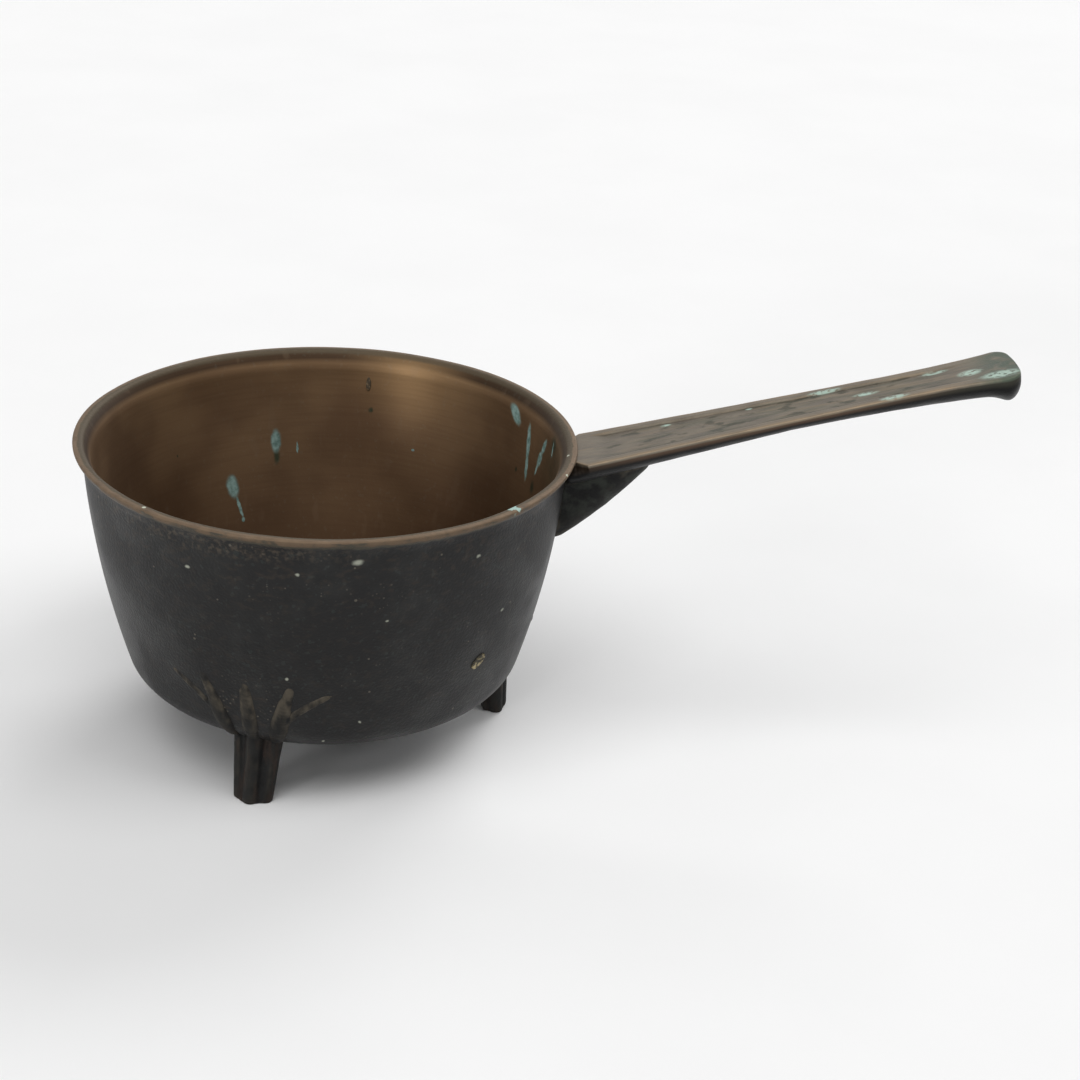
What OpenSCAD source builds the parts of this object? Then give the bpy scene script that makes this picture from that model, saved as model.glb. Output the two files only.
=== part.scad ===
// Three-legged bronze skillet with a long flared handle.
// Millimetres, Z up. The feet stand on z = 0 and the handle points along +X.
// The origin lies on the floor, midway between the rim and the handle's end.

/* [Pan] */
// Height of the rim's top above the floor
rim_height = 124.5; // [100:0.5:160]
// Outer diameter where the wall turns into the lower corner
base_d = 157.2; // [130:0.2:180]
// Height of that turn above the floor
base_height = 36; // [30:0.2:45]
// How far the wall swells beyond a straight line from turn to mouth
wall_bulge = 2.5; // [0.5:0.1:5]
// Outer radius of the lower corner
corner_r = 14.3; // [8:0.1:20]
// Gap between the floor and the middle of the dished base
base_clearance = 11.7; // [8:0.1:18]
// Thickness of the wall and the base
wall_t = 3; // [2:0.1:5]

/* [Rim] */
// Outer diameter of the rim
rim_d = 195; // [170:0.5:230]
// How far the rim stands out beyond the wall below it
rim_overhang = 3.5; // [1.5:0.1:6]
// Width of the flat on top of the rim
rim_flat = 3.6; // [2:0.1:6]
// Height of the rim's upright outer edge
rim_edge = 1.6; // [0.8:0.1:3]
// Height over which the wall flares out into the rim
flare_height = 5.2; // [3:0.1:10]
// Radius of the hollow under the flare
cove_r = 4; // [1:0.1:6]

/* [Handle] */
// Length from the rim's edge to the tip, along the top face
handle_length = 170.5; // [120:0.5:240]
// Upward slope in degrees
handle_rise = 15.8; // [0:0.1:30]
// How far below the rim's top the handle meets it
handle_step = 0.7; // [0.2:0.1:2]
// Width where the handle leaves the rim
root_width = 34.4; // [26:0.2:44]
// Width at the waist
waist_width = 24.8; // [18:0.2:30]
// Distance of the waist from the rim
waist_at = 125; // [80:1:150]
// Width of the flared end
end_width = 32.4; // [26:0.2:44]
// Depth where the handle leaves the rim
root_depth = 11; // [8:0.1:16]
// Depth where the handle is thinnest
thin_depth = 7.3; // [5:0.1:9]
// Distance of the thinnest place from the rim
thin_at = 82; // [50:1:110]
// Depth of the flared end, without its lip
end_depth = 11.3; // [10:0.1:18]
// Extra depth of the lip under the end
lip_depth = 2.7; // [1:0.1:5]
// Rounding of the end's two corners, seen from above
end_round = 6.5; // [3:0.1:11]
// Rounding of the lip, seen from the side
lip_round = 4.8; // [2:0.1:8]
// How far the end bows out between its corners
end_bow = 1.6; // [0:0.1:5]
// Degrees by which the end face leans back from square to the top
end_rake = 3; // [0:0.5:20]
// Degrees by which the worn end is off square, seen from above
end_skew = 7; // [-10:0.5:10]
// Bevel along the top edges
arris = 0.6; // [0.3:0.1:1.2]

/* [Sunk field] */
// Width of the raised border on each side of the field
border_width = 3.8; // [2:0.1:6]
// Depth of the field below the border
field_depth = 0.8; // [0.3:0.1:1.5]
// Distance of the field's start from the rim
field_start = 6; // [3:0.5:20]
// Bare metal between the field and the handle's tip
field_margin = 19; // [12:0.5:40]

/* [Tail] */
// Where the brace leaves the handle, as a distance from the rim
tail_reach = 27; // [18:0.5:40]
// Depth below the rim's top at which the brace meets the wall
tail_drop = 37.5; // [26:0.5:50]
// How far the brace's outer edge swells beyond a straight line
tail_bulge = 1.6; // [0:0.1:3]
// Width of the brace under the handle
tail_top_width = 17; // [10:0.5:22]
// Width of the brace at the wall
tail_foot_width = 11; // [8:0.5:18]

/* [Legs] */
// Direction of the front leg, in degrees from the handle
first_leg_angle = -104.8; // [-150:0.2:-90]
// How far the middle of each foot stands in from the wall's turn
leg_inset = 11.1; // [8:0.1:20]
// How far the foot stands aside from the leg's root
foot_aside = -2.3; // [-5:0.1:5]
// Radius on which the reeds stand round the foot's middle
foot_spread = 5.7; // [4:0.1:7]
// Radius of a reed at the foot
foot_reed_r = 3.1; // [2:0.1:4]
// Radius on which the reeds stand at the leg's top
knee_spread = 7.8; // [5:0.1:9]
// Radius of a reed at the leg's top
knee_reed_r = 4.2; // [2.5:0.1:5]
// Angle between neighbouring reeds
reed_angle = 58; // [45:1:70]
// Metal behind the leg's middle, up to its flat back
leg_back = 2; // [0:0.1:4]

/* [Claws] */
// Height of the claws' tips above the floor
claw_top = 63; // [52:0.5:80]
// Angle round the pan between neighbouring claws inside the leg
claw_root_angle = 6.2; // [4:0.1:8]
// Angle round the pan between neighbouring claws at their tips
claw_tip_angle = 12.9; // [8:0.1:16]
// How far a claw stands proud of the wall at its root
claw_proud = 1.8; // [0.8:0.1:2.5]
// Depth of a claw's centre line below the wall's surface
claw_sink = 2.3; // [1.5:0.1:2.8]
// Height of the outer claws' tips above the floor
outer_top = 59.5; // [52:0.5:80]
// Angle from the leg to the outer claws' tips
outer_tip_angle = 27.5; // [20:0.1:30]
// How far the outer claws stand proud of the wall near their tips
outer_proud = 0.7; // [0.3:0.1:1.2]

/* [Chaplets] */
// Side of the square brass spacer low in the wall
low_chaplet_size = 6; // [4:0.1:9]
// Height of its middle above the floor
low_chaplet_height = 59; // [50:0.5:80]
// Its direction in degrees from the handle
low_chaplet_angle = -41.2; // [-60:0.2:-20]
// Width of the strip spacer below the rim
high_chaplet_width = 2; // [1.5:0.1:4]
// Height of the strip spacer
high_chaplet_size = 6; // [4:0.1:9]
// Depth of its middle below the rim's top
high_chaplet_drop = 13.5; // [10:0.5:35]
// Its direction in degrees from the handle
high_chaplet_angle = 84.8; // [60:0.2:110]

/* [Hidden] */
$fn = 96;

bronze = "#8c7b68";
soot = "#303030";
brass = "#b08d4a";

rim_r = rim_d / 2;
mouth_r = rim_r - rim_overhang;
base_r = base_d / 2;
flare_z = rim_height - flare_height;

// The wall is one arc through the turn and the mouth, with the stated bulge
wall_chord = norm([mouth_r - base_r, flare_z - base_height]);
wall_arc_r = (pow(wall_chord / 2, 2) + pow(wall_bulge, 2)) / (2 * wall_bulge);
chord_lean = atan((mouth_r - base_r) / (flare_z - base_height));
half_sweep = asin(wall_chord / (2 * wall_arc_r));
mouth_lean = chord_lean - half_sweep;
base_lean = chord_lean + half_sweep;
wall_centre = [base_r - wall_arc_r * cos(base_lean), base_height + wall_arc_r * sin(base_lean)];

// The corner continues the wall, and the dished base touches the corner and crosses the axis square
corner_centre = [base_r - corner_r * cos(base_lean), base_height + corner_r * sin(base_lean)];
corner_over = corner_centre[1] - base_clearance;
dish_r = (pow(corner_centre[0], 2) + pow(corner_over, 2) - pow(corner_r, 2)) / (2 * (corner_over - corner_r));
dish_centre = [0, base_clearance + dish_r];
dish_slope = atan(corner_centre[0] / (dish_centre[1] - corner_centre[1]));

// Section counts
wall_steps = 14;
corner_steps = 10;
dish_steps = 10;
fillet_steps = 6;
handle_steps = 30;
tip_steps = 8;
belly_steps = 22;
tail_steps = 10;
tail_belly_steps = 12;
leg_sides = 72;
claw_steps = 12;
claw_sides = 14;

// Small edge roundings of the rim
rim_outer_round = 0.6;
rim_inner_round = 1.2;

// Reach past a surface for cuts and for ends that are trimmed later
past = 1;
inside = 14;

// The claws' shape: start above the corner's lowest point, least relief, bend of the outer ones
claw_start = 0.6;
faint = 0.3;
outer_curl = 2;

function unit(v) = v / norm(v);

// Points on an arc whose angle runs down from the horizontal, the way a wall's lean does
function arc(centre, r, from, to, steps) =
    [for (i = [0:steps]) let (a = from + (to - from) * i / steps) centre + r * [cos(a), -sin(a)]];

// Points that round the corner b between its neighbours a and c
function fillet(a, b, c, r) =
    let (
        u = unit(a - b),
        v = unit(c - b),
        half = acos(u * v) / 2,
        centre = b + unit(u + v) * r / sin(half),
        start = b + u * r / tan(half) - centre,
        finish = b + v * r / tan(half) - centre
    )
    [for (i = [0:fillet_steps]) let (t = i / fillet_steps) centre + r * unit(start * (1 - t) + finish * t)];

function without_last(list) = [for (i = [0:len(list) - 2]) list[i]];
function reversed(list) = [for (i = [len(list) - 1:-1:0]) list[i]];

// One face of the pan from the mouth down to the axis, the given depth inside the outer face
function shell_line(depth) = concat(
    arc(wall_centre, wall_arc_r - depth, mouth_lean, base_lean, wall_steps),
    arc(corner_centre, corner_r - depth, base_lean, 90 - dish_slope, corner_steps),
    arc(dish_centre, dish_r - depth, 90 - dish_slope, 90, dish_steps)
);

rim_top_out = [rim_r, rim_height];
rim_low_out = [rim_r, rim_height - rim_edge];
rim_top_in = [rim_r - rim_flat, rim_height];

// Outline of the outer face, from the axis at the bottom up to the rim's top
outer_line = let (line = reversed(shell_line(0)), n = len(line)) concat(
    without_last(line),
    fillet(line[n - 2], line[n - 1], rim_low_out, cove_r),
    fillet(line[n - 1], rim_low_out, rim_top_out, rim_outer_round),
    fillet(rim_low_out, rim_top_out, rim_top_in, rim_outer_round)
);

// Outline of the inner face, from the rim's top down to the axis
inner_line = let (line = shell_line(wall_t), n = len(line)) concat(
    fillet(rim_top_out, rim_top_in, line[0], rim_inner_round),
    fillet(rim_top_in, line[0], line[1], cove_r),
    [for (i = [1:n - 1]) line[i]]
);

// Outer radius of the wall, and of the corner below it, at height z
function arc_radius(centre, r, z) = centre[0] + sqrt(pow(r, 2) - pow(z - centre[1], 2));
function wall_radius(z) =
    z < base_height ? arc_radius(corner_centre, corner_r, z) : arc_radius(wall_centre, wall_arc_r, z);

// Handle width and depth at distance s from the rim
function root_share(s, at) = s < at ? (at - s) / at : 0;
function tip_share(s, at) = s > at ? (s - at) / (handle_length - at) : 0;
function half_width(s) = (waist_width
    + (root_width - waist_width) * pow(min(root_share(s, waist_at), 1), 1.3)
    + (end_width - waist_width) * pow(tip_share(s, waist_at), 3)) / 2;
lip_at = handle_length - lip_round;
lip_reach = 4.5;
function depth_at(s) = thin_depth
    + (root_depth - thin_depth) * min(root_share(s, thin_at), 1)
    + (end_depth - thin_depth) * pow(tip_share(s, thin_at), 1.7)
    + lip_depth * exp(-pow((s - lip_at) / lip_reach, 2));

// The rounded tip draws every section in, and its corners and its underside lie back from its middle
function tip_inset(s, r) =
    let (over = max(s - handle_length + r, 0)) r - sqrt(max(pow(r, 2) - pow(over, 2), 0));
end_reach = 25;
function end_share(s) = pow(max((s - handle_length + end_reach) / end_reach, 0), 2);

// One section of the handle: flat on top, bevelled at both edges, a half ellipse below
function handle_ring(s) =
    let (w = half_width(s) - tip_inset(s, end_round), d = depth_at(s) - tip_inset(s, lip_round))
    [
        for (p = concat(
            [[w - arris, 0]],
            [for (i = [0:belly_steps]) let (a = 180 * i / belly_steps)
                [w * cos(a), -arris - (d - arris) * sin(a)]],
            [[arris - w, 0]]
        )) [s - end_share(s) * (end_bow * pow(p[0] / half_width(s), 2)
            + tan(end_skew) * p[0] - tan(end_rake) * p[1]), p[0], p[1]]
    ];

// Sections lie closer together towards the lip and the rounded tip
tip_start = handle_length - end_round;
stations = concat(
    [for (i = [0:handle_steps]) tip_start - (tip_start + inside) * pow(1 - i / handle_steps, 1.4)],
    [for (i = [1:tip_steps]) tip_start + end_round * sin(90 * i / tip_steps)]
);
handle_rings = [for (s = stations) handle_ring(s)];
handle_root = [rim_r, 0, rim_height - handle_step];

// From the handle's own frame to the pan's, in the plane of symmetry
function from_handle(s, n) = [
    rim_r + s * cos(handle_rise) - n * sin(handle_rise),
    rim_height - handle_step + s * sin(handle_rise) + n * cos(handle_rise)
];

// Half the distance from the rim's far side to the handle's tip puts the origin mid-length
tip_x = max([for (ring = handle_rings) for (p = ring) from_handle(p[0], p[2])[0]]);
middle_x = (tip_x - rim_r) / 2;

// The tail's outer edge runs from the handle's underside to the wall
tail_top = from_handle(tail_reach, -depth_at(tail_reach));
tail_foot = [wall_radius(rim_height - tail_drop), rim_height - tail_drop];
tail_length = norm(tail_top - tail_foot);
tail_along = unit(tail_foot - tail_top);
tail_inward = [tail_along[1], -tail_along[0]];
tail_extra = 0.25;

// One section of the tail: a flat-sided web with a rounded outer edge
function tail_ring(t) =
    let (
        w = (tail_top_width + (tail_foot_width - tail_top_width) * t) / 2,
        swell = 4 * tail_bulge * t * (1 - t),
        edge = tail_top + tail_along * tail_length * t - tail_inward * swell
    )
    [
        for (p = concat(
            [[tail_length, w]],
            [for (i = [0:tail_belly_steps]) let (a = 180 * i / tail_belly_steps)
                [w * (1 - sin(a)), w * cos(a)]],
            [[tail_length, -w]]
        )) let (q = edge + tail_inward * p[0]) [q[0], p[1], q[1]]
    ];
tail_rings = [for (i = [0:tail_steps]) tail_ring(-tail_extra + (1 + 2 * tail_extra) * i / tail_steps)];

leg_count = 3;
leg_circle_r = base_r - leg_inset;

// The leg's outer face stands upright, so its wider top sits further in
knee_shift = knee_spread + knee_reed_r - foot_spread - foot_reed_r;
knee_height = base_height + past;

// Reach of a round reed in direction a, from the leg's middle
function reed_reach(a, spread, r) =
    spread * cos(a) + sqrt(max(pow(r, 2) - pow(spread * sin(a), 2), 0));

// The leg's level section at share t of its height: three reeds outside, a flat back towards the pan's axis
function leg_ring(t) =
    let (
        spread = foot_spread + (knee_spread - foot_spread) * t,
        r = foot_reed_r + (knee_reed_r - foot_reed_r) * t,
        middle = [leg_circle_r - knee_shift * t, foot_aside * (1 - t), knee_height * t]
    )
    [
        for (j = [1:leg_sides]) let (
            a = -360 * j / leg_sides,
            front = max([for (k = [-1:1]) reed_reach(a - k * reed_angle, spread, r)]),
            reach = min(max(front, spread), cos(a) < 0 ? -leg_back / cos(a) : spread + r)
        ) middle + reach * [cos(a), sin(a), 0]
    ];

// A level ring about a ridge's centre line, which lies below the wall's surface
function ridge_ring(angle, z, proud) = let (middle = wall_radius(z) - claw_sink, r = claw_sink + proud)
    [for (j = [1:claw_sides]) let (a = -360 * j / claw_sides)
        [middle * cos(angle) + r * cos(a), middle * sin(angle) + r * sin(a), z]];

// Claws start inside the leg, just above the lowest point of the pan's corner
claw_foot = corner_centre[1] - corner_r + claw_start;

// A claw fades out evenly towards its tip
function claw_ring(k, t) = ridge_ring(
    k * (claw_root_angle + (claw_tip_angle - claw_root_angle) * t),
    claw_foot + (claw_top - claw_foot) * t,
    claw_proud * (1 - pow(t, 2))
);

// An outer claw curls away and is faint until near its tip
function outer_ring(side, t) = ridge_ring(
    side * (claw_root_angle + (outer_tip_angle - claw_root_angle) * pow(t, outer_curl)),
    claw_foot + (outer_top - claw_foot) * t,
    outer_proud * sin(180 * pow(t, 2)) + faint * (1 - t)
);

// A skin over rings that all have the same number of points
module loft(rings) {
    n = len(rings[0]);
    last = len(rings) - 1;
    sides = [for (i = [0:last - 1], j = [0:n - 1])
        let (a = i * n + j, b = i * n + (j + 1) % n)
        each [[a, b, b + n], [a, b + n, a + n]]];
    near_cap = [for (j = [1:n - 2]) [0, j + 1, j]];
    far_cap = [for (j = [1:n - 2]) [last * n, last * n + j, last * n + j + 1]];
    polyhedron(points = [for (ring = rings) each ring], faces = concat(sides, near_cap, far_cap));
}

// The space inside the pan's outer face, cavity and all
module pan_envelope() {
    rotate_extrude()
        polygon(concat(outer_line, [[0, rim_height]]));
}

module pan_cavity() {
    rotate_extrude()
        polygon(concat([[0, rim_height + past], [inner_line[0][0], rim_height + past]], inner_line));
}

module chaplet_bar(angle, height, width, size) {
    rotate([0, 0, angle])
        translate([mouth_r / 2, -width / 2, height - size / 2])
            cube([rim_r - mouth_r / 2, width, size]);
}

module chaplet_low_bar() {
    chaplet_bar(low_chaplet_angle, low_chaplet_height, low_chaplet_size, low_chaplet_size);
}

module chaplet_high_bar() {
    chaplet_bar(high_chaplet_angle, rim_height - high_chaplet_drop, high_chaplet_width, high_chaplet_size);
}

module handle_place() {
    translate(handle_root)
        rotate([0, -handle_rise, 0])
            children();
}

module handle_body() {
    handle_place()
        loft(handle_rings);
}

// The sunk field follows the handle's edges at the border's width
module field_cut() {
    field_end = handle_length - field_margin;
    steps = 24;
    edge = [for (i = [0:steps]) let (s = field_start + (field_end - field_start) * i / steps)
        [s, half_width(s) - border_width]];
    mirrored = [for (p = reversed(edge)) [p[0], -p[1]]];
    handle_place()
        translate([0, 0, -field_depth])
            linear_extrude(height = field_depth + past)
                polygon(concat(edge, mirrored));
}

// Everything in the frame whose origin lies mid-length on the floor
module placed() {
    translate([-middle_x, 0, 0])
        children();
}

// A leg in its own frame: x points outward from the pan's axis, z = 0 is the floor
module leg(number) {
    difference() {
        rotate([0, 0, first_leg_angle + number * 360 / leg_count]) {
            loft([leg_ring(0), leg_ring(1)]);
            for (k = [-1:1])
                loft([for (i = [0:claw_steps]) claw_ring(k, i / claw_steps)]);
            for (side = [-1, 1])
                loft([for (i = [0:claw_steps]) outer_ring(side, i / claw_steps)]);
        }
        pan_envelope();
    }
}

module pan() {
    color(bronze)
        placed()
            difference() {
                pan_envelope();
                pan_cavity();
                chaplet_low_bar();
                chaplet_high_bar();
            }
}

module handle() {
    color(bronze)
        placed()
            difference() {
                handle_body();
                field_cut();
                pan_envelope();
            }
}

module tail() {
    color(soot)
        placed()
            difference() {
                loft(tail_rings);
                handle_body();
                handle_place()
                    translate([-handle_length, -rim_r, -thin_depth / 2])
                        cube([2 * handle_length, rim_d, rim_height]);
                pan_envelope();
            }
}

module leg_front() {
    color(soot)
        placed()
            leg(0);
}

module leg_right() {
    color(soot)
        placed()
            leg(1);
}

module leg_left() {
    color(soot)
        placed()
            leg(2);
}

module chaplet_low() {
    color(brass)
        placed()
            difference() {
                intersection() {
                    chaplet_low_bar();
                    pan_envelope();
                }
                pan_cavity();
            }
}

module chaplet_high() {
    color(bronze)
        placed()
            difference() {
                intersection() {
                    chaplet_high_bar();
                    pan_envelope();
                }
                pan_cavity();
            }
}

pan();
handle();
tail();
leg_front();
leg_right();
leg_left();
chaplet_low();
chaplet_high();
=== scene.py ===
# %% [markdown]
# # A cast bronze skillet
#
# A skillet is a round pan on three short legs, with one long handle, made to stand in the embers of
# a hearth. Pan, handle, brace and legs were cast in a single pour. The outside is black with soot,
# the inside is brown and rubbed, and green verdigris grows where the metal stayed damp. The packed
# CAD model gives every size and place. This lesson gives the casting its soft edges and its
# finishes, piece by piece.

# %% Load the frame
import math

import bmesh
import bpy
from mathutils import Euler, Matrix, Vector, noise


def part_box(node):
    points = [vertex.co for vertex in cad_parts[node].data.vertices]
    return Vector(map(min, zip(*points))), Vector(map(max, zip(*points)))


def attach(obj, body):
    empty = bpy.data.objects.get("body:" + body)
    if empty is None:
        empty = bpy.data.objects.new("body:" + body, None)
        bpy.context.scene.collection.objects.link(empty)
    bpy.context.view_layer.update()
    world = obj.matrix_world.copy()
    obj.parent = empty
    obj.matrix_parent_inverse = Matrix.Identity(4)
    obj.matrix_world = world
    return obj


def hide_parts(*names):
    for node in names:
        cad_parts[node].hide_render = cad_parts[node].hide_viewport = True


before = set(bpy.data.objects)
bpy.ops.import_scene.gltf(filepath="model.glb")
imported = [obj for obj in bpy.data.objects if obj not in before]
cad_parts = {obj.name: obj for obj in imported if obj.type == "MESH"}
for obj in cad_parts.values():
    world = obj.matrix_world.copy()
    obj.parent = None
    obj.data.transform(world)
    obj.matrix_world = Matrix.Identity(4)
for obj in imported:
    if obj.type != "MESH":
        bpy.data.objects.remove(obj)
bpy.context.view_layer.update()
print("CAD nodes:", ", ".join(sorted(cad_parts)))

# %% [markdown]
# ## Sizes that the pieces share
#
# A founder works from one drawing, and so does this file: the sizes below are those of the CAD
# source, in millimetres from the pan's own axis and the floor. Each piece is drawn with them and is
# turned into metres, and moved to its place in the frame, as the last step. The axis and the rim's
# height are read from the frame, because a wrong guess there would show at once.

# %% Sizes of the pan and its rim
MM = 0.001
pan_low, pan_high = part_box("pan")
PAN_AXIS = Vector(((pan_low.x + pan_high.x) / 2, 0, 0))

RIM_HEIGHT = pan_high.z / MM
RIM_R = 97.5
RIM_FLAT = 3.6
RIM_EDGE = 1.6
FLARE_HEIGHT = 5.2
MOUTH_R = 94.0
BASE_R = 78.6
BASE_HEIGHT = 36.0
WALL_BULGE = 2.5
WALL_T = 3.0
CORNER_R = 14.3
BASE_CLEARANCE = 11.7
print(f"pan axis at x = {PAN_AXIS.x / MM:.2f} mm, rim's top at z = {RIM_HEIGHT:.1f} mm")

# %% [markdown]
# ## The arcs of the pan's profile
#
# Cut in half, the wall is one long arc, the lower corner a tight one, and the base a shallow dish.
# Each arc touches the next, so light runs over the joins without a break. A compass needs only a
# centre, a radius and two angles, and these lines work them out as the source does.

# %% Arc centres and angles
flare_z = RIM_HEIGHT - FLARE_HEIGHT
wall_chord = math.hypot(MOUTH_R - BASE_R, flare_z - BASE_HEIGHT)
wall_arc_r = ((wall_chord / 2) ** 2 + WALL_BULGE ** 2) / (2 * WALL_BULGE)
chord_lean = math.atan2(MOUTH_R - BASE_R, flare_z - BASE_HEIGHT)
half_sweep = math.asin(wall_chord / (2 * wall_arc_r))
mouth_lean = chord_lean - half_sweep
base_lean = chord_lean + half_sweep
wall_centre = Vector((
    BASE_R - wall_arc_r * math.cos(base_lean), 0, BASE_HEIGHT + wall_arc_r * math.sin(base_lean)))
corner_centre = Vector((
    BASE_R - CORNER_R * math.cos(base_lean), 0, BASE_HEIGHT + CORNER_R * math.sin(base_lean)))
corner_over = corner_centre.z - BASE_CLEARANCE
dish_r = (corner_centre.x ** 2 + corner_over ** 2 - CORNER_R ** 2) / (2 * (corner_over - CORNER_R))
dish_centre = Vector((0, 0, BASE_CLEARANCE + dish_r))
dish_slope = math.atan2(corner_centre.x, dish_centre.z - corner_centre.z)
print(f"wall arc {wall_arc_r:.1f} mm, corner {CORNER_R} mm, dish {dish_r:.1f} mm")


def wall_radius(z):
    """Outer radius of the pan at height z."""
    centre, r = (corner_centre, CORNER_R) if z < BASE_HEIGHT else (wall_centre, wall_arc_r)
    return centre.x + math.sqrt(max(r ** 2 - (z - centre.z) ** 2, 0))


# %% [markdown]
# ## Three small helpers for shapes
#
# No hand-cast surface is dead flat: sand shifts, and centuries of scouring soften it. So every
# piece gets a slow, shallow swell from smooth noise, which bends the reflections a little. A second
# helper marks where a surface stands out from its surroundings, because that is where hands and
# cloths rub the dirt off. The last one finishes a piece: metres, place, material, body.

# %% Shape helpers


def hand_made(bm, depth, size):
    """Moves every vertex along its normal by up to depth mm, in swells about size mm long."""
    bm.normal_update()
    for v in bm.verts:
        v.co += v.normal * depth * noise.noise(v.co / size)


def mark_wear(bm, passes):
    """Stores how sharply the surface stands out at each vertex, in 1/mm, as the wear attribute."""
    bm.normal_update()
    wear = bm.verts.layers.float.new("wear")
    for v in bm.verts:
        others = [e.other_vert(v).co for e in v.link_edges]
        centre = sum(others, Vector()) / len(others)
        reach = sum((o - v.co).length for o in others) / len(others)
        v[wear] = 2 * (v.co - centre).dot(v.normal) / reach ** 2
    for _ in range(passes):
        shared = [
            (v[wear] + sum(e.other_vert(v)[wear] for e in v.link_edges)) / (1 + len(v.link_edges))
            for v in bm.verts
        ]
        for v, value in zip(bm.verts, shared):
            v[wear] = value


def finish_piece(bm, name, material, slot, *nodes):
    """Turns a shape in mm about the pan's axis into a piece in the frame that stands for CAD nodes."""
    bmesh.ops.scale(bm, vec=(MM, MM, MM), verts=bm.verts)
    bmesh.ops.translate(bm, vec=PAN_AXIS, verts=bm.verts)
    mesh = bpy.data.meshes.new(name)
    bm.to_mesh(mesh)
    bm.free()
    mesh.shade_smooth()
    mesh.materials.append(material)
    piece = bpy.data.objects.new(name, mesh)
    bpy.context.scene.collection.objects.link(piece)
    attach(piece, "root")
    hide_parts(*nodes)
    print(f"{name}: {sum(len(p.vertices) - 2 for p in mesh.polygons)} triangles")
    return piece


# %% [markdown]
# ## Helpers for finishes
#
# A finish is a small net of nodes. One helper adds a node, sets it and links it. The others build
# the three things that every old bronze needs: a place to measure from in millimetres, soft
# mottling in patches of a stated size, and a single spot at a stated place.

# %% Finish helpers


def linear(code):
    """An sRGB hex colour as the linear RGBA that Blender's sockets take."""
    parts = [int(code[i:i + 2], 16) / 255 for i in (1, 3, 5)]
    return [p / 12.92 if p <= 0.04045 else ((p + 0.055) / 1.055) ** 2.4 for p in parts] + [1.0]


def add(tree, kind, inputs=None, out=0, **settings):
    """Adds a node, sets it, fills or links its inputs, and returns one of its outputs."""
    made = tree.nodes.new("ShaderNode" + kind)
    for name, value in settings.items():
        setattr(made, name, value)
    for name, value in (inputs or {}).items():
        if isinstance(value, bpy.types.NodeSocket):
            tree.links.new(value, made.inputs[name])
        else:
            made.inputs[name].default_value = value
    return made.outputs[out] if made.outputs else None


def new_finish(name):
    """An empty material, its node tree, and the place on the piece in mm from the pan's axis."""
    material = bpy.data.materials.new(name)
    material.use_nodes = True
    tree = material.node_tree
    tree.nodes.clear()
    place = add(tree, "TexCoord", out="Object")
    at = add(tree, "Mapping", {
        "Vector": place, "Location": -PAN_AXIS / MM, "Scale": (1 / MM, 1 / MM, 1 / MM)})
    return material, tree, at


def mottle(tree, at, size, low=0.4, high=0.6, stretch=(1, 1, 1), detail=4.0):
    """Soft patches about size mm across: 0 below the noise level low, 1 above high."""
    scaled = add(tree, "Mapping", {"Vector": at, "Scale": stretch})
    patches = add(tree, "TexNoise", {"Vector": scaled, "Scale": 1 / size, "Detail": detail})
    return add(tree, "MapRange", {
        "Value": patches, "From Min": low, "From Max": high}, interpolation_type="SMOOTHSTEP")


def specks(tree, at, apart, share, reach=0.4):
    """Specks strewn at random, one place each apart mm. A share of the places is filled."""
    near = add(tree, "TexVoronoi", {"Vector": at, "Scale": 1 / apart})
    chance = add(tree, "SeparateColor", {"Color": near.node.outputs["Color"]})
    radius = add(tree, "MapRange", {"Value": chance, "From Min": 1 - share, "To Max": reach})
    over = add(tree, "Math", {0: radius, 1: near}, operation="SUBTRACT")
    return add(tree, "MapRange", {"Value": over, "From Max": reach / 5})


def spot(tree, at, centre, radii, turn=(0, 0, 0), soft=0.35):
    """1 inside an ellipsoid round centre, fading to 0 at its skin. turn is in degrees."""
    local = add(tree, "Mapping", {
        "Vector": at, "Location": centre, "Scale": radii,
        "Rotation": [math.radians(a) for a in turn]}, vector_type="TEXTURE")
    away = add(tree, "VectorMath", {0: local}, out="Value", operation="LENGTH")
    return add(tree, "MapRange", {
        "Value": away, "From Min": 1.0, "From Max": 1.0 - soft}, interpolation_type="SMOOTHSTEP")


# %% [markdown]
# ## Finish: bronze of the pan
#
# The pan is leaded bronze, cast in loam and turned smooth inside. Its finish has three zones that
# run into each other. Outside is a crust of soot, matt and nearly black, which takes a grey sheen
# only at a glancing angle. The rim is bare, rubbed metal, a dull tan. Inside is a thin brown patina
# over bright metal, so it glows softly where light strikes it. The mesh carries an attribute,
# inside, which runs from 0 on the outer wall over the rim to 1 on the inner wall, and the zones are
# read from it. Noise frays their borders.

# %% Colours of the pan
SOOT = linear("#070707")
SOOT_GREY = linear("#1a1a19")
SOOT_BURNT = linear("#0a0909")
SOOT_BROWN_AND_ROOT_SHADE = linear("#2a221a")
SOOT_RUBBED = linear("#554b3e")
DUST = linear("#736c60")
FLARE_OLIVE = linear("#3a352a")
RIM_TAN = linear("#605040")
RIM_BRIGHT = linear("#72604d")
RIM_DARK = linear("#4c4034")
BEVEL_OLIVE = linear("#4d4435")
PATINA_BROWN = linear("#68513c")
PATINA_DARK_AND_SHADE = linear("#4e3a29")
PATINA_PAINTED_SHADE = linear("#35271a")
PATINA_WARM = linear("#765e45")
PATINA_PAINTED_HIGHLIGHT = linear("#866b4a")
PATINA_OLIVE = linear("#48402d")
VERDIGRIS = linear("#86a09b")
VERDIGRIS_DEEP = linear("#5a746e")
GREEN_BLACK = linear("#3a3e2e")
PALE_SPECK = linear("#b5b8a8")
RIM_GREEN = linear("#a4beb6")

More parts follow.
